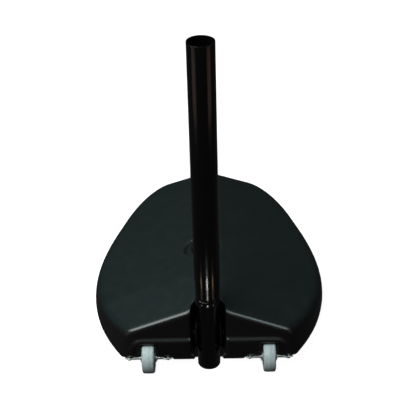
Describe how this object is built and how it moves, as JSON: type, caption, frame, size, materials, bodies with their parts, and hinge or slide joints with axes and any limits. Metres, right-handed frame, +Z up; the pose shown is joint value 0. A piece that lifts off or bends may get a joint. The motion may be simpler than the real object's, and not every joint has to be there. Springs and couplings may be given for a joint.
{
  "type": "kick target stand base",
  "caption": "Wheeled, fillable pick-shaped base for a free-standing kick target, with a pitched top, a screw fill cap and a swaged lower mast standing in a rear groove.",
  "frame": {"origin": "middle of the footprint of the whole part, on the floor", "axes": "+Z up along the mast, +Y from the wheels towards the nose of the tank, +X to the right of someone who stands behind the wheels"},
  "size_m": [0.5004, 0.6381, 0.719],
  "materials": {
    "tank_plastic": "fine moulded grain, satin",
    "black_plastic": "satin",
    "mast_paint": "gloss powder coat",
    "zinc_plate": "bright zinc plate",
    "wheel_tread": "matt",
    "wheel_hub": "satin",
    "nylon_bush": "smooth",
    "gasket_rubber": "matt"
  },
  "bodies": {
    "base": {"base_tank": "tank_plastic", "lower_tube": "mast_paint", "tube_foot_cap": "black_plastic", "mast_bracket": "zinc_plate", "bracket_screw_lower": "zinc_plate", "bracket_screw_upper": "zinc_plate", "mast_bolt": "zinc_plate", "mast_bolt_nut": "zinc_plate", "mast_bolt_washer_left": "zinc_plate", "mast_bolt_washer_right": "zinc_plate", "left_wheel_axle": "zinc_plate", "left_axle_screw_inner": "zinc_plate", "left_axle_washer_inner": "zinc_plate", "left_axle_screw_outer": "zinc_plate", "left_axle_washer_outer": "zinc_plate", "right_wheel_axle": "zinc_plate", "right_axle_screw_inner": "zinc_plate", "right_axle_washer_inner": "zinc_plate", "right_axle_screw_outer": "zinc_plate", "right_axle_washer_outer": "zinc_plate"},
    "mast": {"mast_tube": "mast_paint"},
    "cap_seal": {"fill_cap_gasket": "gasket_rubber"},
    "cap": {"fill_cap": "black_plastic"},
    "left_wheel": {"left_wheel_tyre": "wheel_tread", "left_wheel_hub": "wheel_hub", "left_wheel_bush": "nylon_bush"},
    "right_wheel": {"right_wheel_tyre": "wheel_tread", "right_wheel_hub": "wheel_hub", "right_wheel_bush": "nylon_bush"}
  },
  "joints": [
    {"name": "mast_lift", "type": "slide", "parent": "base", "child": "mast", "axis": [0, 0, 1], "range_m": [0, 0.07]},
    {"name": "cap_lift", "type": "slide", "parent": "base", "child": "cap_seal", "axis": [0, 0, 1], "range_m": [0, 0.01]},
    {"name": "cap_turn", "type": "hinge", "parent": "cap_seal", "child": "cap", "pos_m": [-0.013, -0.04625, 0.13], "axis": [0, 0, 1], "range_deg": [0, 900]},
    {"name": "left_wheel_spin", "type": "hinge", "parent": "base", "child": "left_wheel", "pos_m": [-0.123, -0.28825, 0.032], "axis": [1, 0, 0], "continuous": true},
    {"name": "right_wheel_spin", "type": "hinge", "parent": "base", "child": "right_wheel", "pos_m": [0.123, -0.28825, 0.032], "axis": [1, 0, 0], "continuous": true}
  ],
  "couplings": [
    {"joint": "cap_lift", "follows": "cap_turn", "m_per_rad": 0.00063662}
  ]
}
